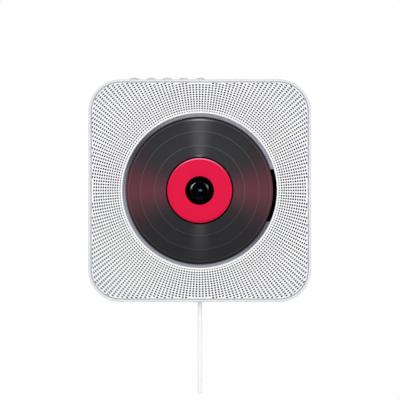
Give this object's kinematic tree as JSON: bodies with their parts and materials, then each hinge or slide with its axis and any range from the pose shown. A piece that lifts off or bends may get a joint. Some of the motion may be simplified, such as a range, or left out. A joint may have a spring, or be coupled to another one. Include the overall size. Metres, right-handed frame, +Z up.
{
  "type": "wall mounted disc player",
  "caption": "Square wall hung disc player: perforated front, open round disc well, sprung-claw hub, geared laser sled, top buttons, pull cord switch and hanger plate.",
  "frame": {"origin": "middle of the two wall screws on the wall plane, behind the disc's centre", "axes": "+Z up, +Y into the wall, +X to the right as seen from the front; the front faces -Y"},
  "size_m": [0.182, 0.0425, 0.2608],
  "materials": {
    "white_plastic": "satin, fine moulded grain",
    "plate_plastic": "moulded",
    "button_plastic": "pale blue grey",
    "white_pvc": "soft white sheath",
    "soft_rubber": "matt",
    "screw_steel": "zinc plated",
    "black_cloth": "woven acoustic cloth",
    "black_plastic": "moulded",
    "hub_plastic": "polished black",
    "gear_plastic": "natural acetal",
    "ground_steel": "ground bright",
    "motor_steel": "zinc plated can",
    "disc_print": "printed black and red under gloss",
    "lens_glass": "coated",
    "speaker_steel": "black",
    "speaker_paper": "pressed paper pulp",
    "magnet_ferrite": "dark grey",
    "board_laminate": "green solder mask",
    "chip_epoxy": "moulded epoxy",
    "capacitor_sleeve": "shrunk sleeve",
    "ribbon_film": "polyester film"
  },
  "bodies": {
    "wall_hanger": {"wall_plate": "plate_plastic"},
    "player": {"casing_band": "white_plastic", "front_grille": "white_plastic", "rear_cover": "white_plastic", "rubber_pads": "soft_rubber", "rear_screws": "screw_steel", "grille_cloth": "black_cloth", "disc_well": "white_plastic", "mechanism_chassis": "black_plastic", "mechanism_cover": "black_plastic", "main_guide_rod": "ground_steel", "side_guide_rod": "ground_steel", "rubber_dampers": "soft_rubber", "damper_screws": "screw_steel", "spindle_motor": "motor_steel", "sled_motor": "motor_steel", "gear_pin": "ground_steel", "button_board": "board_laminate", "push_switches": "black_plastic", "cord_bush": "white_pvc", "switch_housing": "black_plastic", "switch_cap": "black_plastic", "return_spring": "ground_steel", "speaker_frames": "speaker_steel", "speaker_cones": "speaker_paper", "speaker_magnets": "magnet_ferrite", "speaker_gaskets": "soft_rubber", "main_board": "board_laminate", "board_screws": "screw_steel", "processor_chip": "chip_epoxy", "amplifier_chip": "chip_epoxy", "capacitors": "capacitor_sleeve", "ribbon_cable": "ribbon_film", "socket_panel": "white_plastic", "dc_jack": "black_plastic", "audio_jack": "black_plastic", "usb_port": "motor_steel"},
    "spindle": {"spindle_shaft": "ground_steel", "turntable": "hub_plastic", "turntable_mat": "soft_rubber", "hub": "hub_plastic"},
    "disc": {"compact_disc": "disc_print"},
    "sled": {"sled_body": "black_plastic", "sled_rack": "gear_plastic", "lens_holder": "black_plastic", "objective_lens": "lens_glass"},
    "gear": {"drive_gear": "gear_plastic"},
    "pinion": {"motor_pinion": "gear_plastic", "sled_motor_shaft": "ground_steel"},
    "cord_pull": {"pull_cord": "white_pvc", "cord_tip": "white_pvc", "switch_slider": "gear_plastic"},
    "button_1": {"button_1": "button_plastic"},
    "button_2": {"button_2": "button_plastic"},
    "button_3": {"button_3": "button_plastic"},
    "button_4": {"button_4": "button_plastic"},
    "button_5": {"button_5": "button_plastic"},
    "claw_1": {"hub_claw_1": "hub_plastic"},
    "claw_2": {"hub_claw_2": "hub_plastic"},
    "claw_3": {"hub_claw_3": "hub_plastic"}
  },
  "joints": [
    {"name": "player_lift", "type": "slide", "parent": "wall_hanger", "child": "player", "axis": [0, 0, 1], "range_m": [0, 0.0065]},
    {"name": "spindle_turn", "type": "hinge", "parent": "player", "child": "spindle", "pos_m": [0, -0.038, 0], "axis": [0, 1, 0], "continuous": true},
    {"name": "disc_lift_off", "type": "slide", "parent": "spindle", "child": "disc", "axis": [0, -1, 0], "range_m": [0, 0.06]},
    {"name": "sled_travel", "type": "slide", "parent": "player", "child": "sled", "axis": [1, 0, 0], "range_m": [0, 0.034]},
    {"name": "gear_turn", "type": "hinge", "parent": "player", "child": "gear", "pos_m": [0.034, -0.025, -0.0206], "axis": [0, 1, 0], "range_deg": [-5, 545]},
    {"name": "pinion_turn", "type": "hinge", "parent": "player", "child": "pinion", "pos_m": [0.0245, -0.02, -0.02793], "axis": [0, 1, 0], "range_deg": [-1632, 5]},
    {"name": "cord_pull", "type": "slide", "parent": "player", "child": "cord_pull", "axis": [0, 0, -1], "range_m": [0, 0.007], "stiffness_N_per_m": 120, "springref_m": -0.012, "deforming": ["return_spring"]},
    {"name": "button_1_press", "type": "slide", "parent": "player", "child": "button_1", "axis": [0, 0, -1], "range_m": [0, 0.0006], "stiffness_N_per_m": 400, "springref_m": -0.002},
    {"name": "button_2_press", "type": "slide", "parent": "player", "child": "button_2", "axis": [0, 0, -1], "range_m": [0, 0.0006], "stiffness_N_per_m": 400, "springref_m": -0.002},
    {"name": "button_3_press", "type": "slide", "parent": "player", "child": "button_3", "axis": [0, 0, -1], "range_m": [0, 0.0006], "stiffness_N_per_m": 400, "springref_m": -0.002},
    {"name": "button_4_press", "type": "slide", "parent": "player", "child": "button_4", "axis": [0, 0, -1], "range_m": [0, 0.0006], "stiffness_N_per_m": 400, "springref_m": -0.002},
    {"name": "button_5_press", "type": "slide", "parent": "player", "child": "button_5", "axis": [0, 0, -1], "range_m": [0, 0.0006], "stiffness_N_per_m": 400, "springref_m": -0.002},
    {"name": "claw_1_press", "type": "slide", "parent": "spindle", "child": "claw_1", "axis": [0, 0, 1], "range_m": [0, 0.0005], "stiffness_N_per_m": 300, "springref_m": -0.001},
    {"name": "claw_2_press", "type": "slide", "parent": "spindle", "child": "claw_2", "axis": [0.866, 0, -0.5], "range_m": [0, 0.0005], "stiffness_N_per_m": 300, "springref_m": -0.001},
    {"name": "claw_3_press", "type": "slide", "parent": "spindle", "child": "claw_3", "axis": [-0.866, 0, -0.5], "range_m": [0, 0.0005], "stiffness_N_per_m": 300, "springref_m": -0.001}
  ],
  "couplings": [
    {"joint": "gear_turn", "follows": "sled_travel", "rad_per_m": 277.78},
    {"joint": "pinion_turn", "follows": "sled_travel", "rad_per_m": -833.33}
  ]
}
